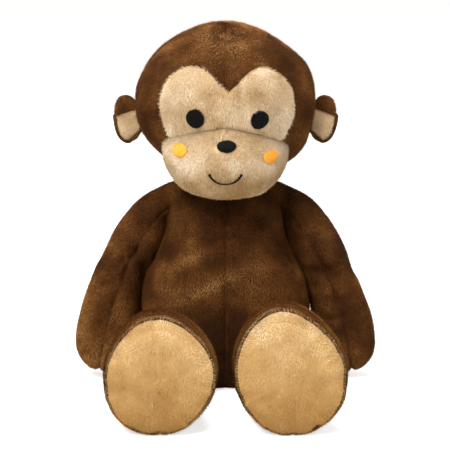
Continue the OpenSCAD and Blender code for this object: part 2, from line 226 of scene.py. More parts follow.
def swell(name, grid, held, cap, ease=0.03, pressure=4.0):
    """Cloth simulation of a closed sleeve of fabric: held where it is sewn, cut a little large by
    ease, and blown up from inside. cap limits how far a point moves."""
    rows, cols = grid.shape[:2]
    points = np.concatenate([grid.reshape(-1, 3), grid[:1].mean(1), grid[-1:].mean(1)])
    top, end = rows * cols, rows * cols + 1
    ring = np.arange(cols)
    beside = (ring + 1) % cols
    last = (rows - 1) * cols
    fans = np.concatenate([
        np.stack([beside, ring, np.full(cols, top)], -1),
        np.stack([last + ring, last + beside, np.full(cols, end)], -1)])
    mesh = bpy.data.meshes.new(name)
    mesh.from_pydata((points * MM).tolist(), [], grid_faces(rows, cols, True).tolist() + fans.tolist())
    sleeve = bpy.data.objects.new(name, mesh)
    bpy.context.scene.collection.objects.link(sleeve)
    group = sleeve.vertex_groups.new(name="sewn")
    group.add([int(k) for k in np.nonzero(held.ravel())[0]] + [top, end], 1.0, "REPLACE")
    cloth = sleeve.modifiers.new("cloth", "CLOTH")
    cloth.settings.quality = 6
    cloth.settings.mass = 0.25
    cloth.settings.tension_stiffness = 12
    cloth.settings.compression_stiffness = 10
    cloth.settings.shear_stiffness = 5
    cloth.settings.bending_stiffness = 0.4
    cloth.settings.use_pressure = True
    cloth.settings.uniform_pressure_force = pressure
    cloth.settings.vertex_group_mass = "sewn"
    cloth.settings.shrink_min = -ease
    cloth.settings.effector_weights.gravity = 0
    steps = 20
    cloth.point_cache.frame_start = 1
    cloth.point_cache.frame_end = steps
    for step in range(1, steps + 1):
        bpy.context.scene.frame_set(step)
    done = sleeve.evaluated_get(bpy.context.evaluated_depsgraph_get()).to_mesh()
    moved = np.empty(len(done.vertices) * 3)
    done.vertices.foreach_get("co", moved)
    bpy.data.objects.remove(sleeve)
    bpy.data.meshes.remove(mesh)
    bpy.context.scene.frame_set(1)
    shift = moved.reshape(-1, 3)[:rows * cols].reshape(rows, cols, 3) / MM - grid
    for _ in range(5):
        shift[1:-1] = (shift[:-2] + 2 * shift[1:-1] + shift[2:]) / 4
    far = np.linalg.norm(shift, axis=-1, keepdims=True)
    return grid + shift * np.minimum(1, cap / np.maximum(far, 1e-6))


def sewn(grid, normals, distance, run, seed, deep=1.4, pucker=0.5, reach=6.0):
    """Pulls cloth in along a seam: a narrow valley, with small gathers running away from it."""
    wave = np.sin(run * 2 * math.pi / 8.5 + 2.2 * cloudy(grid, 21, seed))
    off_seam = 1 - np.exp(-(distance / 1.5) ** 2)
    gather = pucker * np.exp(-(distance / reach) ** 2) * (0.4 + 0.6 * wave) * off_seam
    valley = deep * np.exp(-(distance / 1.7) ** 2) + deep * 0.35 * np.exp(-(distance / 5.0) ** 2)
    return grid - normals * (valley + gather)[..., None]


def crease(grid, normals, place, way, long, wide, deep):
    """A soft fold pressed into cloth at a place: long one way, narrow across, with raised sides."""
    gap = grid - np.array(place)
    along = gap @ unit(np.array(way, float))
    across = np.sqrt(np.maximum((gap ** 2).sum(-1) - along ** 2, 0))
    press = np.exp(-(across / wide) ** 2) - 0.45 * np.exp(-((across - 2 * wide) / wide) ** 2)
    return grid - normals * (deep * press * np.exp(-(along / long) ** 2))[..., None]


def plush_tones(name, colours, sheen):
    """The fibres' tones, one plain shader each, since a fibre is one colour. They give the plush its own
    mottled tone, and where a piece's bias draws them lighter or darker they also carry painted light and
    shade.
    """
    tones = []
    for index, colour in enumerate(colours):
        material = bpy.data.materials.new(f"{name}_{index}")
        material.use_nodes = True
        shader = material.node_tree.nodes["Principled BSDF"]
        shader.inputs["Base Color"].default_value = (*colour, 1)
        shader.inputs["Roughness"].default_value = 0.72
        shader.inputs["Specular IOR Level"].default_value = 0.06
        shader.inputs["Sheen Weight"].default_value = sheen
        shader.inputs["Sheen Roughness"].default_value = 0.4
        shader.inputs["Sheen Tint"].default_value = (*[min(1, c * 3.0) for c in colour], 1)
        tones.append(material)
    return tones


def nap_group():
    """Shared effect: brushed plush seen from above its roots. Mottling colours it and a fine
    grain lifts it."""
    group = bpy.data.node_groups.new("brushed_nap", "ShaderNodeTree")
    face = group.interface
    for socket, kind, value in (
            ("Dark", "NodeSocketColor", (0, 0, 0, 1)), ("Light", "NodeSocketColor", (1, 1, 1, 1)),
            ("Patch Scale", "NodeSocketFloat", 90.0), ("Grain Scale", "NodeSocketFloat", 1400.0)):
        face.new_socket(socket, in_out="INPUT", socket_type=kind).default_value = value
    face.new_socket("Color", in_out="OUTPUT", socket_type="NodeSocketColor")
    face.new_socket("Height", in_out="OUTPUT", socket_type="NodeSocketFloat")
    nodes, links = group.nodes, group.links
    given, out = nodes.new("NodeGroupInput"), nodes.new("NodeGroupOutput")
    place = nodes.new("ShaderNodeTexCoord")
    patch, grain = nodes.new("ShaderNodeTexNoise"), nodes.new("ShaderNodeTexNoise")
    patch.inputs["Detail"].default_value = 3
    grain.inputs["Detail"].default_value = 2
    both = nodes.new("ShaderNodeMath")
    both.operation = "MULTIPLY_ADD"
    both.inputs[1].default_value = 0.45
    colour = nodes.new("ShaderNodeMix")
    colour.data_type = "RGBA"
    links.new(place.outputs["Object"], patch.inputs["Vector"])
    links.new(place.outputs["Object"], grain.inputs["Vector"])
    links.new(given.outputs["Patch Scale"], patch.inputs["Scale"])
    links.new(given.outputs["Grain Scale"], grain.inputs["Scale"])
    links.new(grain.outputs[0], both.inputs[0])
    links.new(patch.outputs[0], both.inputs[2])
    spread = nodes.new("ShaderNodeMapRange")
    spread.inputs["From Min"].default_value = 0.5
    spread.inputs["From Max"].default_value = 0.95
    links.new(both.outputs[0], spread.inputs["Value"])
    links.new(spread.outputs[0], colour.inputs["Factor"])
    links.new(given.outputs["Dark"], colour.inputs[6])
    links.new(given.outputs["Light"], colour.inputs[7])
    links.new(colour.outputs[2], out.inputs["Color"])
    links.new(grain.outputs[0], out.inputs["Height"])
    return group


brushed_nap = nap_group()


def napped(name, dark, light, roughness, lift, strength=1.0, **scales):
    """A matt finish coloured and lifted by the shared nap. lift is the height of its grain."""
    material = bpy.data.materials.new(name)
    material.use_nodes = True
    tree = material.node_tree
    shader = tree.nodes["Principled BSDF"]
    shader.inputs["Roughness"].default_value = roughness
    nap = tree.nodes.new("ShaderNodeGroup")
    nap.node_tree = brushed_nap
    nap.inputs["Dark"].default_value = (*dark, 1)
    nap.inputs["Light"].default_value = (*light, 1)
    for pattern, scale in scales.items():
        nap.inputs[pattern.capitalize() + " Scale"].default_value = scale
    bump = tree.nodes.new("ShaderNodeBump")
    bump.inputs["Strength"].default_value = strength
    bump.inputs["Distance"].default_value = lift
    tree.links.new(nap.outputs["Color"], shader.inputs["Base Color"])
    tree.links.new(nap.outputs["Height"], bump.inputs["Height"])
    tree.links.new(bump.outputs["Normal"], shader.inputs["Normal"])
    return material


def plush_backing(name, dark, light, sheen):
    """The knitted ground of the plush with the roots of its pile."""
    material = napped(name, dark, light, 0.85, 0.0008, strength=0.6)
    shader = material.node_tree.nodes["Principled BSDF"]
    shader.inputs["Specular IOR Level"].default_value = 0.1
    shader.inputs["Sheen Weight"].default_value = sheen
    shader.inputs["Sheen Roughness"].default_value = 0.5
    shader.inputs["Sheen Tint"].default_value = (*[min(1, c * 3.5) for c in light], 1)
    return material


brown_colours = [(0.028, 0.0092, 0.0018), (0.058, 0.0195, 0.0038), (0.104, 0.0375, 0.0078),
                 (0.163, 0.065, 0.0150), (0.245, 0.110, 0.0300), (0.375, 0.188, 0.0620)]
brown_tones = plush_tones("brown_fibre", brown_colours, 0.3)
brown_backing = plush_backing("brown_ground", (0.024, 0.008, 0.002), (0.075, 0.027, 0.006), 0.15)
brown_plush = (brown_backing, brown_tones, "brown_plush")


def pile(name, grid, normals, nap, tones, seed, density=2.4, length=2.6, width=0.42, lean=58, bias=0.0,
         mix=0.6, share=None):
    """Cut fibres standing on a grid of cloth, leaning along nap. share thins them out by cell, bias
    draws their tones lighter or darker, by a number or by a function of their roots, and mix is
    how much the tones of neighbours differ."""
    draw = np.random.default_rng(seed)
    a, b, c, d = grid[:-1, :-1], grid[:-1, 1:], grid[1:, 1:], grid[1:, :-1]
    area = np.linalg.norm(np.cross(c - a, d - b), axis=-1) / 2
    if share is not None:
        area = area * share[:-1, :-1]
    count = np.floor(area * density + draw.random(area.shape)).astype(int)
    i, j = np.nonzero(count)
    i, j = np.repeat(i, count[i, j]), np.repeat(j, count[i, j])
    u, v = draw.random((len(i), 1)), draw.random((len(i), 1))

    def at(field):
        return ((field[i, j] * (1 - v) + field[i, j + 1] * v) * (1 - u)
                + (field[i + 1, j] * (1 - v) + field[i + 1, j + 1] * v) * u)
    root, out, flow = at(grid), unit(at(normals)), at(nap)
    swirl = cloudy(root, 11, seed % 7 + 1)[:, None] * 0.55 + draw.normal(0, 0.22, (len(i), 1))
    flow = unit(flow - out * (flow * out).sum(-1, keepdims=True))
    flow = flow * np.cos(swirl) + np.cross(out, flow) * np.sin(swirl)
    tilt = np.radians(lean + 7 * cloudy(root, 7, 3)[:, None] + draw.normal(0, 8, (len(i), 1)))
    way = unit(flow * np.sin(tilt) + out * np.cos(tilt))
    side = unit(np.cross(way, out))
    long = length * draw.uniform(0.7, 1.15, (len(i), 1))
    half = width / 2 * draw.uniform(0.7, 1.2, (len(i), 1))
    root = root - out * 0.15
    points = np.stack([root + side * half, root - side * half, root + way * long], 1).reshape(-1, 3)
    points[:, 2] = np.maximum(points[:, 2], 0.1)
    tint = bias(root) if callable(bias) else bias
    patch = mix * (2.5 * cloudy(root, 17, 5) + 1.1 * cloudy(root, 6, 6) + draw.normal(0, 0.9, len(i))) + tint
    tone = np.clip(np.round(2 + patch), 0, len(tones) - 1)
    return new_mesh(name, points, np.arange(len(i) * 3).reshape(-1, 3), tones, tone, smooth=False)


torso_low, torso_high = span("torso_front_left", "torso_front_right", "torso_back_left", "torso_back_right")
torso_half = (torso_high - torso_low) / 2
torso_side = np.array([
    (0, 0.76), (4, 0.86), (12, 0.945), (25, 0.99), (42, 1), (65, 1.0), (85, 0.945),
    (105, 0.805), (118, 0.73), (134, 0.65), (143, 0.56), (149, 0.46), (torso_high[2], 0.37)])
torso_fore = np.array([
    (0, 0.74), (4, 0.84), (12, 0.93), (25, 0.985), (42, 1), (65, 0.96), (85, 0.88),
    (105, 0.78), (118, 0.72), (134, 0.64), (143, 0.56), (149, 0.47), (torso_high[2], 0.38)])


def eased(x, table):
    """A smooth curve through the rows of a table of places and values."""
    t, v = table[:, 0], table[:, 1]
    slope = np.gradient(v, t)
    k = np.clip(np.searchsorted(t, x, side="right") - 1, 0, len(t) - 2)
    h = t[k + 1] - t[k]
    s = (x - t[k]) / h
    return ((2 * s ** 3 - 3 * s ** 2 + 1) * v[k] + (s ** 3 - 2 * s ** 2 + s) * h * slope[k]
            + (3 * s ** 2 - 2 * s ** 3) * v[k + 1] + (s ** 3 - s ** 2) * h * slope[k + 1])


torso_columns = 64
torso_levels = np.concatenate([[0.3, 1.5, 4, 7.5], np.linspace(12, torso_high[2] - 1, 32)])


def torso_form(inset):
    angle = np.arange(torso_columns) * 2 * math.pi / torso_columns - math.pi / 2
    z = torso_levels[:, None]
    x = (torso_half[0] * eased(z, torso_side) - inset) * boxy(np.cos(angle), 2.15)
    y = (torso_half[1] * eased(z, torso_fore) - inset) * boxy(np.sin(angle), 2.15)
    return np.stack([x, y, z + 0 * x], -1)


fine = 4
torso_seams = [0, 16, 32, 48]
torso_held = np.zeros((len(torso_levels), torso_columns), bool)
torso_held[:, torso_seams] = True
torso_held[[0, -1]] = True
torso_cloth = swell("torso_cloth", torso_form(0.4), torso_held, cap=4.0)
torso_cloth = finer(torso_cloth, fine, True)
torso_cloth[..., 2] = np.maximum(torso_cloth[..., 2], 0.25)
torso_out = facing(torso_cloth, True)


def seam_distance(grid, columns, closed=True):
    """For each point of a fine grid, how far it is from the nearest seam column and how far
    along the seam it lies."""
    n = grid.shape[1]
    gaps = np.linalg.norm(np.roll(grid, -1, 1) - grid, axis=-1)
    around = np.concatenate([np.zeros((len(grid), 1)), np.cumsum(gaps, 1)], 1)
    whole = around[:, -1:]
    nearest = np.full(grid.shape[:2], 1e9)
    for column in columns:
        d = np.abs(around[:, :n] - around[:, column % n][:, None])
        nearest = np.minimum(nearest, np.minimum(d, whole - d) if closed else d)
    steps = np.linalg.norm(np.diff(grid, axis=0), axis=-1).mean(1)
    along = np.concatenate([[0], np.cumsum(steps)])[:, None] + 0 * nearest
    return nearest, along


torso_gap, torso_run = seam_distance(torso_cloth, [s * fine for s in torso_seams])
torso_cloth = sewn(torso_cloth, torso_out, torso_gap, torso_run, 1, deep=1.5, pucker=0.45)
torso_cloth += torso_out * (0.8 * cloudy(torso_cloth, 24, 2) + 0.35 * cloudy(torso_cloth, 11, 3))[..., None]
for place, way, long, wide, deep in (
        ((-22, -50, 96), (0.9, 0, 0.38), 22, 5.0, 3.0), ((-10, -52, 74), (0.9, 0, 0.42), 20, 5.0, 3.0),
        ((26, -48, 100), (0.85, 0, 0.2), 16, 6, 1.6), ((18, -50, 76), (0.9, 0, -0.25), 15, 5, 1.3)):
    torso_cloth = crease(torso_cloth, torso_out, place, way, long, wide, deep)
torso_out = facing(torso_cloth, True)
torso_nap = np.gradient(torso_cloth, axis=0) * -1.0


def panel_of(grid, first, last):
    """The columns of a closed grid from first to last, both included."""
    return grid[:, np.arange(first, last + 1) % grid.shape[1]]


def plush_panel(name, node, body, fields, plush, seed, bend=None, wrap=False, share=None, **cut):
    """One sewn piece of plush: its backing, turned in round its edges, and its pile. Its fields are
    its points, normals and nap, and a wrapped piece closes on itself."""
    grid, normals, nap = fields
    backing, tones, slot_name = plush
    turned = 2.2
    low, high = grid[:1] - normals[:1] * turned, grid[-1:] - normals[-1:] * turned
    cloth, inward = np.concatenate([low, grid, high]), np.concatenate([normals[:1], normals, normals[-1:]])
    if not wrap:
        cloth = np.concatenate([cloth[:, :1] - inward[:, :1] * turned, cloth,
                                cloth[:, -1:] - inward[:, -1:] * turned], 1)
    rows, cols = cloth.shape[:2]
    skin = new_mesh(name, cloth.reshape(-1, 3), grid_faces(rows, cols, wrap), [backing])
    if wrap:
        grid, normals, nap = (np.concatenate([field, field[:, :1]], 1) for field in (grid, normals, nap))
        if share is not None:
            share = np.concatenate([share, share[:, :1]], 1)
    fur = pile(name + "_pile", grid, normals, nap, tones, seed, share=share, **cut)
    for piece in (skin, fur):
        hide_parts(node)
        if bend:
            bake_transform(piece)
        else:
            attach(piece, body)


def torso_painted_shading(root):
    """Painted light and shade on the torso's front: a broad painted highlight on the belly, painted
    highlights along two folds with painted shade just below each, and painted shadow low between the legs.
    """
    x, y, z = root.T
    high, low = z - 105 - 0.4 * (x + 20), z - 83 - 0.48 * (x + 10)
    # A broad painted highlight on the belly, and painted highlights on two fold ridges with painted shade
    # below each.
    painted_fold_shading = 0.8 * np.exp(-((z - 90) / 20) ** 2 - ((x + 4) / 36) ** 2)
    for away, middle, wide in ((high, -20, 24), (low, -10, 20)):
        ridge_highlight_and_shade = 1.5 * np.exp(-(away / 5) ** 2) - 1.0 * np.exp(-((away + 11) / 6) ** 2)
        painted_fold_shading = painted_fold_shading + ridge_highlight_and_shade * np.exp(-((x - middle) / wide) ** 2)
    # Painted shadow low on the belly between the legs.
    hollow = 2.3 * np.exp(-(x / 22) ** 2) * np.clip((68 - z) / 26, 0, 1)
    return -0.35 + (painted_fold_shading - hollow) * (y < 0)


def parted(grid, share=0.3):
    """Pile share that is thin along the two side edges of a grid, where fibres part at a seam."""
    thin = np.ones(grid.shape[:2])
    thin[:, [0, 1, -3, -2, -1]] = [share, 0.8, 0.8, share, share]
    return thin


quarter = 16 * fine
torso_panels = ("torso_front_left", "torso_back_left", "torso_back_right", "torso_front_right")
for number, node in enumerate(torso_panels):
    first = number * quarter
    fields = [panel_of(field, first, first + quarter) for field in (torso_cloth, torso_out, torso_nap)]
    plush_panel(node + "_cover", node, "torso", fields, brown_plush, 100 + number, bias=torso_painted_shading,
                share=parted(fields[0]))


def settle(pieces, nodes, body, bend=None):
    """Hides the CAD nodes that pieces stand for, and parents the pieces to the body they move with, or only
    bakes their transform where a bend is given.
    """
    for piece in pieces:
        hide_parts(*nodes)
        if bend:
            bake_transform(piece)
        else:
            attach(piece, body)


fibre = napped("polyester_fibre", (0.62, 0.61, 0.58), (0.9, 0.89, 0.86), 0.95, 0.0015, grain=500)
bag_cloth = napped("pellet_bag_cloth", (0.55, 0.52, 0.45), (0.82, 0.79, 0.70), 0.95, 0.0015, grain=900)


def shrunk(grid, share):
    """A smaller sleeve inside a sleeve of points, round the same middle line."""
    middle = grid.mean(1, keepdims=True)
    return middle + (grid - middle) * share


def filling(name, node, material, grid, body, bend=None):
    """A closed lump of stuffing in the shape of a sleeve of points, with tufts on its surface."""
    rows, cols = grid.shape[:2]
    grid = grid + facing(grid, True) * (0.5 * cloudy(grid, 9, 4))[..., None]
    points = np.concatenate([grid.reshape(-1, 3), grid[:1].mean(1), grid[-1:].mean(1)])
    ring = np.arange(cols)
    beside, last = (ring + 1) % cols, (rows - 1) * cols
    low = np.stack([beside, ring, np.full(cols, rows * cols), beside], -1)
    high = np.stack([last + ring, last + beside, np.full(cols, rows * cols + 1)], -1)
    faces = grid_faces(rows, cols, True)
    triangles = np.concatenate([faces[:, [0, 1, 2]], faces[:, [0, 2, 3]], low[:, :3], high])
    lump = new_mesh(name, points, triangles, [material])
    settle([lump], [node], body, bend)


bag_top = span("pellet_bag")[1][2]
stuffing_top = span("torso_stuffing")[1][2]
torso_inner = torso_cloth - torso_out * 7
torso_height = torso_inner[:, 0, 2]
torso_inner = torso_inner[:, ::3]
filling("bag_of_pellets", "pellet_bag", bag_cloth,
        torso_inner[(torso_height > 3) & (torso_height < bag_top)][::3], "torso")
filling("torso_fibre", "torso_stuffing", fibre,
        torso_inner[(torso_height > bag_top + 1) & (torso_height < stuffing_top)][::3], "torso")


def disc(rim, shares, raise_by):
    """Rings of points from a closed rim in to its middle, raised by a height at each share."""
    middle = rim.mean(0)
    return np.stack([middle + (rim - middle) * k + raise_by(k) for k in shares])


# The oval seat panel closes the torso below and stays flat, where the toy rests.
seat_rim = torso_cloth[0, ::2]
seat = disc(seat_rim, np.linspace(1, 0.02, 24), lambda k: np.array([0, 0, 0]))
seat[..., 2] = 0.3
seat_cloth = np.concatenate([seat[:1] + [0, 0, 1.6], seat])
seat_panel = new_mesh("seat_panel_cover", seat_cloth.reshape(-1, 3),
                      grid_faces(*seat_cloth.shape[:2], True), [brown_backing])
settle([seat_panel], ["seat_panel"], "torso")

# ---- Neck -----------------------------------------------------------------------------------
# The torso's top edge is sewn round the head's opening. The short neck is a sleeve of the same
# brown plush over a plug of stuffing.
neck_low, neck_high = span("neck_core")
neck_levels = np.linspace(neck_low[2] + 2, neck_high[2] + 8.5, 14)
neck_angle = np.linspace(0, 2 * math.pi, 97)[:-1] - math.pi / 2
neck_widen = 19.5 + 7.5 * np.clip((neck_levels - 148) / 16, 0, 1) ** 1.5
neck = np.stack([neck_widen[:, None] * 1.05 * np.cos(neck_angle),
                 neck_widen[:, None] * 0.97 * np.sin(neck_angle), neck_levels[:, None] + 0 * neck_angle], -1)
neck_out = facing(neck, True)
neck_bend = ("neck", "head", (0, 0, 0.148), (0, 0, 0.160))
neck_nap = np.gradient(neck, axis=0) * -1.0
# The neck's tones are drawn darker: painted shade under the head.
plush_panel("neck_cover", "neck_core", "neck", (neck, neck_out, neck_nap), brown_plush, 140, bend=neck_bend,
            wrap=True, bias=-0.8)
filling("neck_plug", "neck_core", fibre, (neck - neck_out * 4)[:, ::3], "neck", neck_bend)

# ---- Head -----------------------------------------------------------------------------------
# A ball of stuffing in six pieces of plush: two brown panels in front of the ears and two behind,
# a tan heart-shaped mask, and the domed tan muzzle sewn below it.
head_low, head_high = span("head_front_left", "head_front_right", "head_back_left", "head_back_right")
head_half = (head_high - head_low) / 2
head_mid = np.array([0, -2, 216.0])
crown_rise, jaw_drop = head_high[2] - head_mid[2], head_mid[2] - head_low[2]
face_depth, nape_depth = head_mid[1] - head_low[1], head_high[1] - head_mid[1]
muzzle_drop = math.radians(40)
muzzle_dir = np.array([0, -math.cos(muzzle_drop), -math.sin(muzzle_drop)])
face_up = np.array([0, -math.sin(muzzle_drop), math.cos(muzzle_drop)])
face_side = np.array([1.0, 0, 0])
muzzle_side, muzzle_rise, muzzle_fall = 48, 29, 34.5
face_skew = 2.3
heart = np.array([(0, 53.5), (7.5, 60), (15, 69.5), (22.5, 75), (37.5, 77), (52.5, 71), (64, 60.5), (72, 50),
                  (80, 44), (90, 42)])


def face_dir(away, turn):
    """Direction at angle away from the muzzle's middle, turned by turn round it, in degrees."""
    away, turn = np.radians(away)[..., None], np.radians(turn)[..., None]
    return muzzle_dir * np.cos(away) + (face_side * np.cos(turn) + face_up * np.sin(turn)) * np.sin(away)


def head_reach(d):
    """Distance of the head's surface from its middle, along unit directions d."""
    deep = np.where(d[..., 1] < 0, face_depth, nape_depth)
    tall = np.where(d[..., 2] > 0, crown_rise, jaw_drop)
    return 1 / np.sqrt((d[..., 0] / head_half[0]) ** 2 + (d[..., 1] / deep) ** 2 + (d[..., 2] / tall) ** 2)


def muzzle_edge(turn):
    """Angle from the muzzle's middle to its seam. It is boxier below, and sewn on slightly turned."""
    turn = np.radians(turn + face_skew)
    above = np.sin(turn) > 0
    power = np.where(above, 1.45, 5.0)
    tall = np.where(above, muzzle_rise, muzzle_fall)
    across, up = np.abs(np.cos(turn)) / muzzle_side, np.abs(np.sin(turn)) / tall
    return (across ** power + up ** power) ** (-1 / power)


def mask_edge(turn):
    """Angle from the muzzle's middle to the mask's heart-shaped edge, or to the muzzle's below it."""
    turn = np.asarray(turn, float)
    top = eased(np.clip(np.abs(turn + face_skew - 90), 0, 89.9), heart)
    near = np.abs(turn - 90) < 86
    return np.where(near, np.maximum(top, muzzle_edge(turn) + 0.5), muzzle_edge(turn))


def side_edge(turn):
    return np.degrees(np.arctan2(math.cos(muzzle_drop), -math.sin(muzzle_drop) * np.sin(np.radians(turn))))


# The whole head swells once as a ball of cloth, held along all its seams.
head_rows, head_columns = 44, 88
polar = np.linspace(3, 177, head_rows)
around = np.arange(head_columns) * 360 / head_columns - 90
ball_polar, ball_around = np.meshgrid(np.radians(polar[::-1]), np.radians(around), indexing="ij")
ball_dir = np.stack([np.sin(ball_polar) * np.cos(ball_around), np.sin(ball_polar) * np.sin(ball_around),
                     np.cos(ball_polar)], -1)
seam_turn = np.arange(-180, 180, 1.5)
seam_dirs = np.concatenate([
    face_dir(muzzle_edge(seam_turn), seam_turn), face_dir(mask_edge(seam_turn), seam_turn),
    face_dir(side_edge(seam_turn), seam_turn), face_dir(np.arange(54, 130, 1.5), np.full(51, 90.0)),
    face_dir(np.arange(131, 325, 1.5), np.full(130, 90.0))])
ball_held = (ball_dir.reshape(-1, 3) @ seam_dirs.T).max(1).reshape(ball_dir.shape[:2]) > math.cos(0.034)
ball_held[[0, -1]] = True


def head_tuck(d):
    """How far the cover lies inside the head's outline before it swells: more at the crown, and
    less where the stuffing is packed into the toy's left temple and jaw."""
    packed = sum(size * np.exp(-((d - unit(np.array(place))) ** 2).sum(-1) / spread ** 2)
                 for place, size, spread in (((62, -5, 27), 2.2, 0.22), ((56, -8, -38), 3.6, 0.30)))
    lift = np.clip(d[..., 2], 0, 1)
    return 1.0 + 3.0 * lift ** 1.5 * (1 - lift ** 8) - packed


ball = head_mid + ball_dir * (head_reach(ball_dir) - head_tuck(ball_dir))[..., None]
ball_swell = ((swell("head_cloth", ball, ball_held, cap=5.0) - ball) * ball_dir).sum(-1)


def head_place(d):
    """Points of the swollen head's cloth along unit directions d."""
    p = np.degrees(np.arccos(np.clip(d[..., 2], -1, 1)))
    i = np.clip((177 - p) / 174 * (head_rows - 1), 0, head_rows - 1.001)
    j = (np.degrees(np.arctan2(d[..., 1], d[..., 0])) + 90) % 360 / 360 * head_columns
    i0, j0 = np.floor(i).astype(int), np.floor(j).astype(int) % head_columns
    u, v, j1 = i - i0, j - np.floor(j), (j0 + 1) % head_columns
    puff = ((ball_swell[i0, j0] * (1 - v) + ball_swell[i0, j1] * v) * (1 - u)
            + (ball_swell[i0 + 1, j0] * (1 - v) + ball_swell[i0 + 1, j1] * v) * u)
    return head_mid + d * (head_reach(d) - head_tuck(d) + puff)[..., None]


def edge_run(grid, axis, end):
    """Distance of each point from one edge of a grid, and how far along that edge it lies."""
    g = np.moveaxis(grid, axis, 0)
    g = g[::-1] if end else g
    steps = np.linalg.norm(np.diff(g, axis=0), axis=-1)
    away = np.concatenate([np.zeros((1, g.shape[1])), np.cumsum(steps, 0)])
    along = np.concatenate([[0], np.cumsum(np.linalg.norm(np.diff(g[0], axis=0), axis=-1))])[None] + 0 * away
    away, along = (f[::-1] if end else f for f in (away, along))
    return np.moveaxis(away, 0, axis), np.moveaxis(along, 0, axis)


def downy(grid, normals, way):
    """Nap that lies along one way over a piece."""
    flow = np.broadcast_to(np.asarray(way, float), grid.shape)
    return unit(flow - normals * (flow * normals).sum(-1, keepdims=True))


tan_colours = [(0.37, 0.225, 0.095), (0.49, 0.34, 0.18), (0.59, 0.445, 0.275), (0.68, 0.55, 0.375),
               (0.79, 0.69, 0.53)]
tan_tones = plush_tones("tan_fibre", tan_colours, 0.25)
tan_backing = plush_backing("tan_ground", (0.42, 0.27, 0.14), (0.62, 0.44, 0.26), 0.2)
tan_plush = (tan_backing, tan_tones, "tan_plush")


def head_panel(name, node, grid, wrap, edges, plush, way, seed, lumps=0.7, deep=0.7, bare=(), fringe=0.0,
               **cut):
    """A piece of the head's cover, pulled in along the edges listed as (axis, end) pairs. Its nap
    lies along way, and outwards over its edges by fringe. It is bare under the embroidery at
    places in bare, given with their radii."""
    out = facing(grid, wrap)
    grid = grid + out * (lumps * cloudy(grid, 26, 8) + 0.4 * lumps * cloudy(grid, 12, 9))[..., None]
    for axis, end in edges:
        away, along = edge_run(grid, axis, end)
        grid = sewn(grid, out, away, along, seed, deep=deep * (0.5 if axis else 1), pucker=0.35)
    out = facing(grid, wrap)
    share = np.ones(grid.shape[:2])
    for place, radius in bare:
        share[((grid - place) ** 2).sum(-1) < radius ** 2] = 0
    nap = downy(grid, out, way)
    if fringe:
        off = unit(np.gradient(grid, axis=0)) * (-1 if edges[0] == (0, False) else 1)
        for axis, end in edges:
            away, along = edge_run(grid, axis, end)
            over = fringe * (1 if end == edges[0][1] else -1) * np.exp(-(away / 3.0) ** 2)
            nap = nap + off * over[..., None]
    plush_panel(name, node, "head", (grid, out, nap), plush, seed, wrap=wrap, share=share, **cut)


brow_share = np.linspace(0, 1, 64)[:, None]
brow_turn = np.linspace(-90, 90, 150)[None, :]
brow_edges = [(0, False), (0, True), (1, True), (1, False)]


def brow_piece(turns):
    """The brown cloth from the face's edge to the side seam."""
    start = mask_edge(turns)
    away = start + (side_edge(turns) - start) * brow_share
    return turned_out(head_place(face_dir(away, turns + 0 * brow_share)), False, head_mid)


def brow_painted_shading(root):
    """Painted highlight over the crown, and painted shade down the sides."""
    x, y, z = root.T
    # A painted highlight on the crown, and painted shade lower down the sides.
    crown = 3.4 * np.exp(-((z - 268) / 13) ** 2 - ((x - 1) / 25) ** 2)
    return -0.15 + crown - 0.3 * np.exp(-((z - 200) / 30) ** 2)


for hand, turns, way, seed in (("left", brow_turn, (0.15, 0.1, -1), 201),
                               ("right", 180 - brow_turn, (-0.15, 0.1, -1), 202)):
    head_panel(f"head_front_{hand}_cover", f"head_front_{hand}", brow_piece(turns), False, brow_edges,
               brown_plush, way, seed, bias=brow_painted_shading)

nape_away = np.radians(np.linspace(90, 1, 64))[:, None]
nape_turn = np.radians(np.linspace(90, -90, 110))[None, :]
for side, hand in ((1, "left"), (-1, "right")):
    nape = head_place(np.stack([
        side * np.sin(nape_away) * np.cos(nape_turn), np.cos(nape_away) + 0 * nape_turn,
        np.sin(nape_away) * np.sin(nape_turn)], -1))
    head_panel(f"head_back_{hand}_cover", f"head_back_{hand}", turned_out(nape, False, head_mid), False,
               [(0, False), (1, False), (1, True)], brown_plush, (0, 0, -1), 205 + side)

mask_share = np.linspace(1, 0, 50)[:, None]
mask_turn = np.linspace(5, 175, 150)[None, :]
mask_start = muzzle_edge(mask_turn)
mask_away = mask_start + (mask_edge(mask_turn) - mask_start) * mask_share
mask = head_place(face_dir(mask_away, mask_turn + 0 * mask_share))
eye_ways = {"left": (25, -56, -6.4), "right": (-21.6, -56, -5.2)}
face_cut = {"length": 2.6, "width": 0.6, "lean": 52, "mix": 0.75}
head_panel("face_mask_cover", "face_mask", turned_out(mask, False, head_mid), False, [(0, False), (0, True)],
           tan_plush, (0.1, 0, -1), 208, lumps=0.4, fringe=1.1, bias=0.2,
           bare=[(head_place(unit(np.array(way))), 7.0) for way in eye_ways.values()], **face_cut)

muzzle_stand = 25.0
muzzle_share = np.sin(np.linspace(math.pi / 2, 0.012, 60))[:, None]
muzzle_turn = np.linspace(-90, 270, 181)[None, :-1]


def on_muzzle(share, turn, height):
    """A point of the muzzle: share 1 is its seam and 0 its middle; height is above the cloth."""
    base = head_place(face_dir(muzzle_edge(turn) * share, turn))
    rise = muzzle_stand * np.sqrt(np.maximum(0, 1 - share ** 3.7)) - 1.2 + height
    return base + muzzle_dir * rise[..., None]


muzzle = on_muzzle(muzzle_share + 0 * muzzle_turn, muzzle_turn + 0 * muzzle_share, np.array(0.0))
face_reach = (face_depth + nape_depth) / 2


def muzzle_spot(side, up, height):
    """A point over the muzzle, from distances to the side of its middle and up."""
    turn = np.degrees(np.arctan2(up, side))
    share = np.degrees(np.hypot(side, up) / face_reach) / muzzle_edge(turn)
    return on_muzzle(share, turn, height)


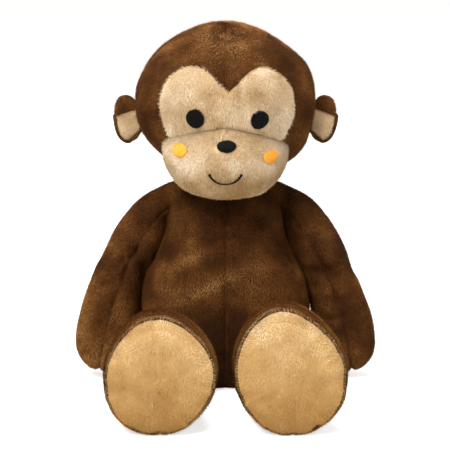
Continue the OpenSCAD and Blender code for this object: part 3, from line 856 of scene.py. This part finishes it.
muzzle_fine = on_muzzle(np.linspace(0.02, 0.99, 130)[:, None] + 0 * muzzle_turn,
                        muzzle_turn + 0 * np.zeros((130, 1)), np.array(0.0))
muzzle_away = facing(muzzle_fine, True)
muzzle_away *= np.sign((muzzle_away @ muzzle_dir).sum())
ahead_only = muzzle_away[..., 1] < -0.05
muzzle_fine, muzzle_away = muzzle_fine[ahead_only], muzzle_away[ahead_only]


def muzzle_at(x, z, height):
    """Points over the front of the muzzle, from how far to the side and how high they are."""
    x, z, height = np.broadcast_arrays(x, z, height)
    gap = ((muzzle_fine[:, [0, 2]] - np.stack([x, z], -1)[..., None, :]) ** 2).sum(-1)
    near = np.argpartition(gap, 16, axis=-1)[..., :16]
    weight = 1 / (np.take_along_axis(gap, near, -1) + 0.8)
    weight = (weight / weight.sum(-1, keepdims=True))[..., None]
    depth = (muzzle_fine[near][..., 1:2] * weight).sum(-2)[..., 0]
    return np.stack([x, depth, z], -1) + unit((muzzle_away[near] * weight).sum(-2)) * height[..., None]


nose_place = (0.8, 192.3)
cheek_places = {"left": (32.2, 182.9), "right": (-32.6, 187.8)}
bare_muzzle = [(muzzle_at(nose_place[0] + x, nose_place[1], 0.0), 4.9) for x in (-3.6, 0.0, 3.6)]
bare_muzzle += [(muzzle_at(x, z, 0.0), 5.0) for x, z in cheek_places.values()]
# The muzzle's tones are drawn darker below height 178: painted shade under the chin.
head_panel("muzzle_cover", "muzzle", turned_out(muzzle, True, head_mid), True, [(0, False)], tan_plush,
           (0, 0, -1), 209, lumps=0.5, deep=1.1, fringe=0.4, bare=bare_muzzle,
           bias=lambda root: 0.6 - 2.0 * np.clip((178 - root[:, 2]) / 12, 0, 1), **face_cut)

skull = head_mid + ball_dir[1:-1:2, ::2] * (head_reach(ball_dir[1:-1:2, ::2]) - 9)[..., None]
filling("head_fibre", "head_stuffing", fibre, skull, "head")
pad_share = np.concatenate([np.linspace(0.05, 0.8, 8), np.linspace(0.8, 0.05, 8)])[:, None]
pad_lift = np.concatenate([np.full(8, -30.0), np.full(8, -6.0)])[:, None]
snout_turn = np.arange(0, 360, 10.0)[None, :]
snout_turn = snout_turn + 0 * pad_share
snout_back = head_place(face_dir(muzzle_edge(snout_turn) * pad_share, snout_turn)) - 4 * muzzle_dir
snout = np.where(pad_lift[..., None] < -20, snout_back,
                 on_muzzle(pad_share + 0 * snout_turn, snout_turn, np.array(-6.0)))
filling("muzzle_fibre", "muzzle_stuffing", fibre, snout, "head")

# ---- Ears -----------------------------------------------------------------------------------
# Each ear is a brown back and a tan front, sewn together, turned, and caught in the head's side
# seam. The brown rolls round the rim and comes down over the top of the front.
ear_tall = 35.0
ear_out = 19.0
ear_thick = 9.0
ear_root = head_half[0] * 0.974 - 1.0
ear_height = 204.5
ear_lean = math.radians(7)
ear_angle = np.radians(np.arange(0, 360, 4.0))


def ear_outline(inset):
    x = ear_out / 2 + (ear_out / 2 - inset) * boxy(np.cos(ear_angle), 2.45)
    return np.stack([x, (ear_tall / 2 - inset) * boxy(np.sin(ear_angle), 2.45)], -1)


def ear_place(flat, depth, side):
    """Points of an ear from places on its face and depths behind it."""
    x, z = flat[..., 0], flat[..., 1]
    u = x * math.cos(ear_lean) + z * math.sin(ear_lean)
    w = z * math.cos(ear_lean) - x * math.sin(ear_lean)
    return np.stack([side * (ear_root + u), depth + 0 * x, ear_height + w], -1)


ear_rim = ear_outline(0)
ear_hem = ear_outline(0.5)
ear_hem[:, 1] = np.minimum(ear_hem[:, 1], 7.5 - 0.22 * ear_hem[:, 0])
ear_hem[:, 1] = np.maximum(ear_hem[:, 1], -17.0 + 0.75 * np.maximum(0, 11 - ear_hem[:, 0]))
ear_front_middle = np.array([9.0, -4.5])
for side, hand in ((1, "left"), (-1, "right")):
    middle = ear_place(np.array([ear_out / 2, 0.0]), np.array(0.0), side)
    back_rows = []
    for share in np.sin(np.linspace(0.03, math.pi / 2, 16)):
        flat = np.array([ear_out / 2, 0]) + (ear_rim - [ear_out / 2, 0]) * share
        puffed = (ear_thick / 2 - 0.5) * math.sqrt(1 - share ** 2.4)
        back_rows.append(ear_place(flat, np.full(len(flat), puffed), side))
    for share in np.linspace(0.12, 1, 12):
        flat = ear_rim + (ear_hem - ear_rim) * share
        roll = -1.2 - 2.6 * math.sin(math.pi * (0.12 + 0.6 * share))
        back_rows.append(ear_place(flat, np.full(len(flat), roll), side))
    back = turned_out(np.stack(back_rows), True, middle)
    back_out = facing(back, True)
    back = back + back_out * (0.5 * cloudy(back, 10, 12))[..., None]
    back_nap = downy(back, back_out, (0.6 * side, 0, -0.8))
    plush_panel(f"ear_{hand}_back_cover", f"ear_{hand}_back", "head", (back, back_out, back_nap),
                brown_plush, 300 + side, wrap=True, bias=0.15)
    front_rows = []
    for share in np.linspace(1, 0.03, 22):
        flat = ear_front_middle + (ear_hem - ear_front_middle) * share
        hollow = 1.6 * np.exp(-((flat[:, 0] - 4) ** 2 + (flat[:, 1] + 4) ** 2) / 60)
        swollen = 2.4 * math.sqrt(1 - share ** 2.6)
        front_rows.append(ear_place(flat, -1.6 - swollen + hollow, side))
    front = turned_out(np.stack(front_rows), True, middle + [0, 30, 0])
    front_out = facing(front, True)
    front_nap = downy(front, front_out, (0.5 * side, 0, -0.6))
    plush_panel(f"ear_{hand}_front_cover", f"ear_{hand}_front", "head", (front, front_out, front_nap),
                tan_plush, 304 + side, wrap=True, bias=-0.3, length=1.9)

# ---- Eyes, nose, cheeks and smile -----------------------------------------------------------
# All embroidered: low pads of matt black and orange thread in satin stitch, laid side by side
# over the plush, and a smile of back stitches that are thinnest at its middle.


def thread_material(name, dark, light, roughness):
    """Matt embroidery thread with a fine grain."""
    material = napped(name, dark, light, roughness, 0.0003, patch=700, grain=2600)
    material.node_tree.nodes["Principled BSDF"].inputs["Specular IOR Level"].default_value = 0.1
    return material


black_thread = thread_material("black_thread", (0.0012, 0.0012, 0.001), (0.004, 0.0038, 0.0034), 0.6)
orange_thread = thread_material("orange_thread", (0.70, 0.28, 0.025), (0.89, 0.45, 0.06), 0.5)


def threads(name, paths, radii, material):
    """Round threads along rows of points, as one mesh; radii is one radius per point."""
    count, length = paths.shape[:2]
    sides = 7
    ahead = unit(np.gradient(paths, axis=1))
    lift = unit(paths - head_mid)
    across = unit(np.cross(ahead, lift))
    lift = np.cross(across, ahead)
    turn = np.arange(sides) * 2 * math.pi / sides
    ring = (across[:, :, None] * np.cos(turn)[:, None] + lift[:, :, None] * np.sin(turn)[:, None])
    points = paths[:, :, None] + ring * radii[:, :, None, None]
    i, j, k = np.meshgrid(np.arange(count), np.arange(length - 1), np.arange(sides), indexing="ij")
    here, over = (i * length + j) * sides, (i * length + j + 1) * sides
    k2 = (k + 1) % sides
    faces = np.stack([here + k, over + k, over + k2, here + k2], -1).reshape(-1, 4)
    return new_mesh(name, points.reshape(-1, 3), faces, [material])


def satin(name, node, material, place, half, slant, seed, gap=0.52, rise=0.75, low=0.9):
    """An oval pad in satin stitch: place(x, y, h) gives a point over the cloth."""
    draw = np.random.default_rng(seed)
    width, height = half
    slant = math.radians(slant)
    reach = math.hypot(width * math.cos(slant), height * math.sin(slant))
    count = int(2 * reach / gap)
    paths, radii = [], []
    for n in range(count):
        off = (n + 0.5) / count * 2 - 1
        run = np.linspace(-1, 1, 15)
        jut = 1 + 0.05 * draw.uniform(-1, 1)
        r = math.sqrt(max(0.02, 1 - off ** 2)) * run * jut
        u = width * (off * math.cos(slant) - r * math.sin(slant))
        v = height * (off * math.sin(slant) + r * math.cos(slant))
        dome = np.sqrt(np.maximum(0, 1.03 - (u / width) ** 2 - (v / height) ** 2))
        end = np.minimum(1, (1 - np.abs(run)) / 0.07)
        paths.append(place(u, v, low + rise * dome - 1.1 * (1 - end) + 0.05 * draw.normal()))
        radii.append(np.full(15, gap * 0.62) * (0.75 + 0.25 * end))
    pad = threads(name, np.array(paths), np.array(radii), material)
    settle([pad], [node], "head")


eye_half = (6.7, 7.2)
for hand, slant in (("left", 12), ("right", -12)):
    eye_dir = unit(np.array(eye_ways[hand]))
    eye_reach = head_reach(eye_dir)
    eye_across = unit(np.cross([0, 0, 1], eye_dir))
    eye_rise = np.cross(eye_dir, eye_across)

    def on_eye(x, y, h):
        d = unit(eye_dir * eye_reach + eye_across * x[..., None] + eye_rise * y[..., None])
        return head_place(d) + d * h[..., None]
    satin(f"eye_{hand}_stitches", f"eye_{hand}", black_thread, on_eye, eye_half, slant,
          400 + slant)

satin("nose_stitches", "nose", black_thread,
      lambda x, y, h: muzzle_at(nose_place[0] + x, nose_place[1] + y, h), (6.6, 4.1), 4, 410)
for side, hand in ((1, "left"), (-1, "right")):
    over, up = cheek_places[hand]
    satin(f"cheek_{hand}_stitches", f"cheek_{hand}", orange_thread,
          lambda x, y, h: muzzle_at(over + x, up + y, h), (5.2, 4.6), 30, 420 + side)

smile_half, smile_drop, smile_up = 12.0, 8.2, 11.8
smile_bend = math.radians(57)
stitch_count = 15
stitch_paths, stitch_radii = [], []
for n in range(stitch_count):
    k = np.linspace(n / stitch_count, (n + 0.96) / stitch_count, 9) * 2 - 1
    bow = np.sin(np.linspace(0, math.pi, 9))
    thick = 0.6 + 0.5 * np.abs(k) ** 2
    over = np.sin(k * smile_bend) / math.sin(smile_bend)
    under = (np.cos(k * smile_bend) - math.cos(smile_bend)) / (1 - math.cos(smile_bend))
    proud = 0.85 + 0.35 * bow * thick
    stitch_paths.append(muzzle_spot(over * smile_half, smile_up - smile_drop * under, proud))
    stitch_radii.append(thick * (0.55 + 0.45 * bow ** 0.5))
smile = threads("smile_stitches", np.array(stitch_paths), np.array(stitch_radii), black_thread)
settle([smile], ["smile"], "head")

# ---- Arms -----------------------------------------------------------------------------------
# Each arm is an outer and an inner piece of brown plush, sewn down the front and the back of the
# arm and round the hand, stuffed, and sewn into the side of the torso, which holds its root.
arm_path = np.array([(41, 0, 136), (60.5, -1, 128.5), (84.5, -4, 84), (95.5, -6, 25)])
arm_thick = np.array([(0, 20), (0.15, 19.2), (0.35, 19.6), (0.6, 21.8), (0.85, 23.2), (1, 21.5)])
arm_deep = np.array([(0, 11), (0.15, 15), (0.35, 17), (0.6, 18.5), (1, 18)])
arm_tip = 20.5


limb_fine = 3


def limb_cloth(name, form, seam, rooted, cap, ease=0.03):
    """A limb's sleeve once its cloth has swelled: sewn along its first column and column seam, and
    held at its last ring and at its first rows, which are rooted in the torso."""
    held = np.zeros(form.shape[:2], bool)
    held[:, [0, seam]] = True
    held[:rooted] = held[-1:] = True
    return finer(swell(name, form, held, cap, ease), limb_fine, True)


def two_pieces(limb, firsts, half, fields, seed, bend, share, **cut):
    """The two brown pieces of a limb's sleeve, each from its first column to the other seam. share
    gives a piece's pile share from its first column and its points."""
    for part, first in firsts:
        piece = [panel_of(field, first, first + half) for field in fields]
        plush_panel(f"{limb}_{part}_cover", f"{limb}_{part}", None, piece, brown_plush, seed + first,
                    bend=bend, share=share(first, piece[0]), **cut)


def curve_at(path, t):
    """Points of a cubic curve with the end points and handles in path."""
    t = t[..., None]
    return ((1 - t) ** 3 * path[0] + 3 * t * (1 - t) ** 2 * path[1]
            + 3 * t * t * (1 - t) * path[2] + t ** 3 * path[3])


def heading(path, t):
    t = t[..., None]
    return unit((1 - t) ** 2 * (path[1] - path[0]) + 2 * t * (1 - t) * (path[2] - path[1])
                + t * t * (path[3] - path[2]))


def arm_form(side, inset):
    """The arm's sleeve, its first rows inside the torso and its last ones round the hand."""
    t = np.concatenate([[0, 0, 0], np.linspace(0.03, 1, 33), np.ones(7)])[:, None]
    tucked = np.concatenate([[9, 6, 3], np.zeros(40)])[:, None, None]
    tip = np.radians(np.concatenate([np.zeros(36), [14, 30, 46, 60, 72, 81, 87]]))[:, None]
    angle = side * np.radians(np.arange(0, 360, 6.0))[None, :]
    ahead = heading(arm_path, t)
    k = np.minimum(1, t / 0.3)[..., None]
    up = unit(np.array([-0.08, 0, 1]) * (1 - k) + np.cross(ahead, [0, 1, 0]) * k)
    thick, deep = eased(t, arm_thick) - inset, eased(t, arm_deep) - inset
    ring = (up * (thick * np.sin(angle) * np.cos(tip))[..., None]
            + np.array([0, 1, 0]) * (deep * np.cos(angle) * np.cos(tip))[..., None])
    points = curve_at(arm_path, t) + ahead * (arm_tip - inset) * np.sin(tip)[..., None] + ring
    points = points - np.array([1, 0, -0.15]) * tucked
    return points * [side, 1, 1]


arm_creases = {
    "left": (((74, -20, 89), (1, 0, -0.2), 14, 4, 2.6), ((84, -22, 66), (1, 0, -0.1), 14, 4, 2.2),
             ((80, -22, 51), (1, 0, 0.3), 12, 4, 2.4), ((66, -14, 112), (0.6, 0, 0.8), 10, 4, 1.4)),
    "right": (((-66, -17, 99), (0.35, 0, -1), 14, 3.6, 5.0), ((-77, -18, 100), (-0.6, 0, -0.8), 8, 2.0, 1.6),
              ((-81, -18, 95), (-0.7, 0, -0.7), 7, 2.0, 1.5), ((-86, -20, 80), (-1, 0, -0.3), 12, 4, 2.2),
              ((-64, -15, 118), (0.3, 0, -1), 8, 3, 1.4)),
}


def arm_painted_shading(root):
    """Painted light and shade on the arms: the toy's right arm is painted lighter than its left, most at the
    hand, and the left one a little lighter at the hand too. Both get painted shade in the fold by the torso,
    and the right one inside its bent elbow."""
    x, y, z = root.T
    # Painted light towards the hands, painted shade in the right elbow's crease and in the fold by the torso.
    hand = np.clip((80 - z) / 40, 0, 1)
    elbow = 2.6 * np.exp(-((x + 62) / 7) ** 2 - ((z - 98) / 11) ** 2)
    armpit_painted_shade = 1.6 * np.exp(-((np.abs(x) - 47) / 5) ** 2) * np.clip((z - 104) / 10, 0, 1) * (y < 0)
    return np.where(x < 0, 0.1 + 0.9 * hand - elbow, -0.45 + 0.3 * hand) - armpit_painted_shade


arm_body_start, arm_body_end = (0.0436, 0, 0.134), (0.0636, 0, 0.119)
arm_seam = 30
arm_half = arm_seam * limb_fine
for side, hand in ((1, "left"), (-1, "right")):
    form = turned_out(arm_form(side, 1.0), True)
    arm = limb_cloth(f"arm_{hand}_cloth", form, arm_seam, rooted=4, cap=4.0)
    arm_out = facing(arm, True)
    gap, run = seam_distance(arm, [0, arm_half])
    arm = sewn(arm, arm_out, gap, run, 30 + side, deep=1.9, pucker=0.5)
    arm = arm + arm_out * (0.5 * cloudy(arm, 22, 14) + 0.25 * cloudy(arm, 10, 15))[..., None]
    for place, way, long, wide, deep in arm_creases[hand]:
        arm = crease(arm, arm_out, place, way, long, wide, deep)
    arm_out = facing(arm, True)
    arm_nap = np.gradient(arm, axis=0)
    start, end = (tuple(np.array(p) * [side, 1, 1]) for p in (arm_body_start, arm_body_end))
    bend = ("torso", f"arm_{hand}", start, end)
    outer = 0 if side > 0 else arm_half
    two_pieces(f"arm_{hand}", (("outer", outer), ("inner", arm_half - outer)), arm_half,
               (arm, arm_out, arm_nap), 500 + side, bend, lambda first, grid: parted(grid), bias=arm_painted_shading)
    filling(f"arm_{hand}_fibre", f"arm_{hand}_stuffing", fibre,
            shrunk(arm, 0.6)[18:-18:4, ::4], None, bend)

# ---- Legs and feet --------------------------------------------------------------------------
# Each leg is an inner and an outer piece of brown plush, sewn along its top and its underside, and
# widens to a flat foot. A tan oval sole is sewn into the foot's edge, and gathers there.
foot_wide, foot_tall = 39.0, 43.5
foot_side = 45.0
leg_rows = np.array([
    (44, 19, 3.5, 38.8, 22), (50, 20, 4, 39, 22), (56, 23, 14, 39.5, 11.5), (66, 25, 21.5, 40, 4),
    (80, 26, 25, 41, 0.3), (94, 28, 28.5, 42.5, 0.3), (105, 32.5, 34, 43.8, 0.3),
    (115, foot_wide * 0.95, foot_tall * 0.93, foot_side, 0.3),
    (125, foot_wide, foot_tall * 0.99, foot_side, 0.3), (133, foot_wide, foot_tall, foot_side, 0.3),
    (139, foot_wide * 0.994, foot_tall * 0.994, foot_side, 0.3),
    (141, foot_wide * 0.965, foot_tall * 0.97, foot_side, 0.3)])


def leg_form(side, inset, lean, sway, taller):
    """The leg's sleeve from inside the torso to the edge of its sole. The foot is more pointed
    above, leans, and its top edge rolls in over the sole."""
    dist = np.concatenate([[44, 48, 52, 56, 61], np.linspace(66, 105, 11), np.linspace(108.5, 133, 9),
                           [136, 138.5, 140.5]])
    wide, tall, place, low = (eased(dist, leg_rows[:, [0, k]])[:, None] for k in (1, 2, 3, 4))
    foot = np.clip((dist - 88) / 34, 0, 1)[:, None]
    tall = np.maximum(tall, 3.5) + taller * foot
    angle = np.radians(np.arange(0, 360, 5.0) - 90)[None, :]
    power = np.where(np.sin(angle) > 0, 2.15 - 0.42 * foot, 2.15)
    c, v = boxy(np.cos(angle), power), boxy(np.sin(angle), power)
    rolled = 0.03 * np.clip((dist - 126) / 14.5, 0, 1)[:, None] ** 2
    x = place + (wide - inset) * c + foot * (lean * v + sway * v ** 2)
    z = low + tall + (tall - inset) * v * (1 - rolled * np.clip(v, 0, 1))
    grid = np.stack([x, -dist[:, None] + 0 * x, z], -1) * [side, 1, 1]
    return turned_out(grid, True)


def leg_painted_highlight(root):
    """A painted highlight along the top edge of the foot, stronger higher up."""
    x, y, z = root.T
    return 0.2 + 3.8 * np.exp(-((y + 142) / 26) ** 2) * np.clip((z - 35) / 40, 0, 1)


sole_colours = [(0.38, 0.205, 0.060), (0.48, 0.285, 0.10), (0.58, 0.375, 0.155), (0.69, 0.49, 0.25),
                (0.84, 0.72, 0.50)]
sole_tones = plush_tones("sole_fibre", sole_colours, 0.2)
sole_backing = plush_backing("sole_ground", (0.36, 0.20, 0.07), (0.56, 0.36, 0.16), 0.15)
sole_plush = (sole_backing, sole_tones, "tan_plush")
leg_seam = 36
leg_half = leg_seam * limb_fine
for side, hand, lean, sway, taller in ((1, "left", -3.6, -2.1, 3.6), (-1, "right", -1.2, 3.2, 0.9)):
    form = leg_form(side, 1.0, lean, sway, taller)
    leg = limb_cloth(f"leg_{hand}_cloth", form, leg_seam, rooted=3, cap=3.0, ease=0.02)
    leg[..., 2] = np.maximum(leg[..., 2], 0.25)
    leg_out = facing(leg, True)
    gap, run = seam_distance(leg, [0, leg_half])
    leg = sewn(leg, leg_out, gap, run, 40 + side, deep=0.8, pucker=0.25)
    rim_away = edge_run(leg, 0, True)[0]
    leg = leg + leg_out * (0.6 * cloudy(leg, 20, 16) + 0.3 * cloudy(leg, 9, 17))[..., None]
    ruffle = 0.5 * np.exp(-(rim_away / 7) ** 2) * cloudy(leg * [1, 0.15, 1], 5, 18)
    leg = leg + leg_out * ruffle[..., None]
    leg[..., 2] = np.maximum(leg[..., 2], 0.25)
    leg_out = facing(leg, True)
    leg_nap = np.gradient(leg, axis=0)
    leg_share = (rim_away > 2.6) * 1.0
    bend = ("torso", f"leg_{hand}", (side * 0.039, -0.046, 0.026), (side * 0.039, -0.072, 0.026))
    right_half = (leg[:, leg_half // 2, 0].mean() - leg[:, 0, 0].mean()) > 0
    outer = 0 if right_half == (side > 0) else leg_half
    two_pieces(f"leg_{hand}", (("outer", outer), ("inner", leg_half - outer)), leg_half,
               (leg, leg_out, leg_nap), 600 + side, bend,
               lambda first, grid: panel_of(leg_share, first, first + leg_half), bias=leg_painted_highlight)
    filling(f"leg_{hand}_fibre", f"leg_{hand}_stuffing", fibre,
            shrunk(leg, 0.72)[15:-9:4, ::4], None, bend)
    rim = leg[-1] + [0, 1.0, 0]
    middle = rim.mean(0)
    shares = np.concatenate([[1.035, 1.035, 1.025, 1.012], np.linspace(1, 0.8, 22)[:-1],
                             np.linspace(0.8, 0.012, 40)])
    sole = middle + (rim - middle) * shares[:, None, None]
    lip = np.concatenate([[2.6, 1.7, 0.9, 0.3], np.zeros(len(shares) - 4)])
    sole[..., 1] += lip[:, None]
    sole[..., 2] = np.maximum(sole[..., 2], 0.25)
    shares = np.minimum(shares, 1)
    inward = (1 - shares)[:, None] * np.linalg.norm(rim - middle, axis=-1)
    gathers = cloudy(rim * [1, 0, 1], 5.0, 19 + side)[None] * np.exp(-inward / 8)
    dome = 5.4 * (1 - shares[:, None] ** 3.2) ** 0.75 + 2.0 * gathers * np.minimum(1, inward / 2)
    sole[..., 1] -= dome + 0.5 * cloudy(sole, 17, 20) * (1 - shares[:, None])
    sole = turned_out(sole, True, (side * foot_side, -60, 40))
    sole_out = facing(sole, True)
    outward = unit((sole - middle) * [1, 0, 1])
    near_rim = np.exp(-(inward / 7) ** 2)[..., None]
    sole_nap = downy(sole, sole_out, (0, 0, -1)) * (1 - near_rim) + outward * near_rim * 1.4
    sole_share = np.ones(sole.shape[:2])
    sole_share[:4] = 0
    # The sole's tones are drawn lighter towards its top and darker towards its bottom: painted light from
    # above.
    plush_panel(f"sole_{hand}_cover", f"sole_{hand}", f"leg_{hand}", (sole, sole_out, sole_nap), sole_plush,
                620 + side, wrap=True, share=sole_share, length=2.3, width=0.48, mix=0.36,
                bias=lambda root: (root[:, 2] - 55) / 22)

# ---- Tail -----------------------------------------------------------------------------------
# A stuffed tube of two brown pieces, sewn into the torso's back seam low down. It lies on the
# ground behind the toy and curls to one side.
tail_path = np.array([(0, 48, 21), (0, 84, 15), (14, 110, 10.1), (58, 100, 10.1)])
tail_half = 9.5
tail_wide = np.array([(0, 3.5), (0.12, 7), (0.3, tail_half), (1, tail_half)])
tail_high = np.array([(0, 10), (0.15, 10), (0.3, tail_half), (1, tail_half)])
tail_t = np.concatenate([np.linspace(0, 1, 34), np.ones(6)])[:, None]
tail_tip = np.radians(np.concatenate([np.zeros(34), [16, 34, 52, 68, 80, 87]]))[:, None]
tail_angle = np.radians(90 - np.arange(0, 360, 7.5))[None, :]
tail_ahead = heading(tail_path, tail_t)
tail_across = unit(np.cross(tail_ahead, [0, 0, 1]))
tail_up = np.cross(tail_across, tail_ahead)
tail_inset = 1.6
tail_side = (eased(tail_t, tail_wide) - tail_inset) * np.cos(tail_angle) * np.cos(tail_tip)
tail_rise = (eased(tail_t, tail_high) - tail_inset) * np.sin(tail_angle) * np.cos(tail_tip)
tail = (curve_at(tail_path, tail_t) + tail_ahead * (tail_half - tail_inset) * np.sin(tail_tip)[..., None]
        + tail_across * tail_side[..., None] + tail_up * tail_rise[..., None])
tail = turned_out(tail, True)
tail = np.roll(tail, -int(np.argmax(tail[20, :, 2])), 1)
tail_seam = 24
tail_halfway = tail_seam * limb_fine
tail = limb_cloth("tail_cloth", tail, tail_seam, rooted=3, cap=2.0)
tail[..., 2] = np.maximum(tail[..., 2], 0.25)
tail_out = facing(tail, True)
tail_gap, tail_run = seam_distance(tail, [0, tail_halfway])
tail = sewn(tail, tail_out, tail_gap, tail_run, 50, deep=0.8, pucker=0.3)
tail = tail + tail_out * (0.5 * cloudy(tail, 14, 21) + 0.25 * cloudy(tail, 7, 22))[..., None]
tail[..., 2] = np.maximum(tail[..., 2], 0.25)
tail_out = facing(tail, True)
tail_nap = np.gradient(tail, axis=0)
tail_bend = ("torso", "tail", (0, 0.048, 0.021), (0, 0.066, 0.021))
left_first = 0 if tail[30, tail_halfway // 2, 0] > tail[30, tail_halfway * 3 // 2, 0] else tail_halfway
two_pieces("tail", (("left", left_first), ("right", tail_halfway - left_first)), tail_halfway,
           (tail, tail_out, tail_nap), 700, tail_bend, lambda first, grid: None)
filling("tail_fibre", "tail_stuffing", fibre, shrunk(tail, 0.5)[12:-12:4, ::3], None,
        tail_bend)
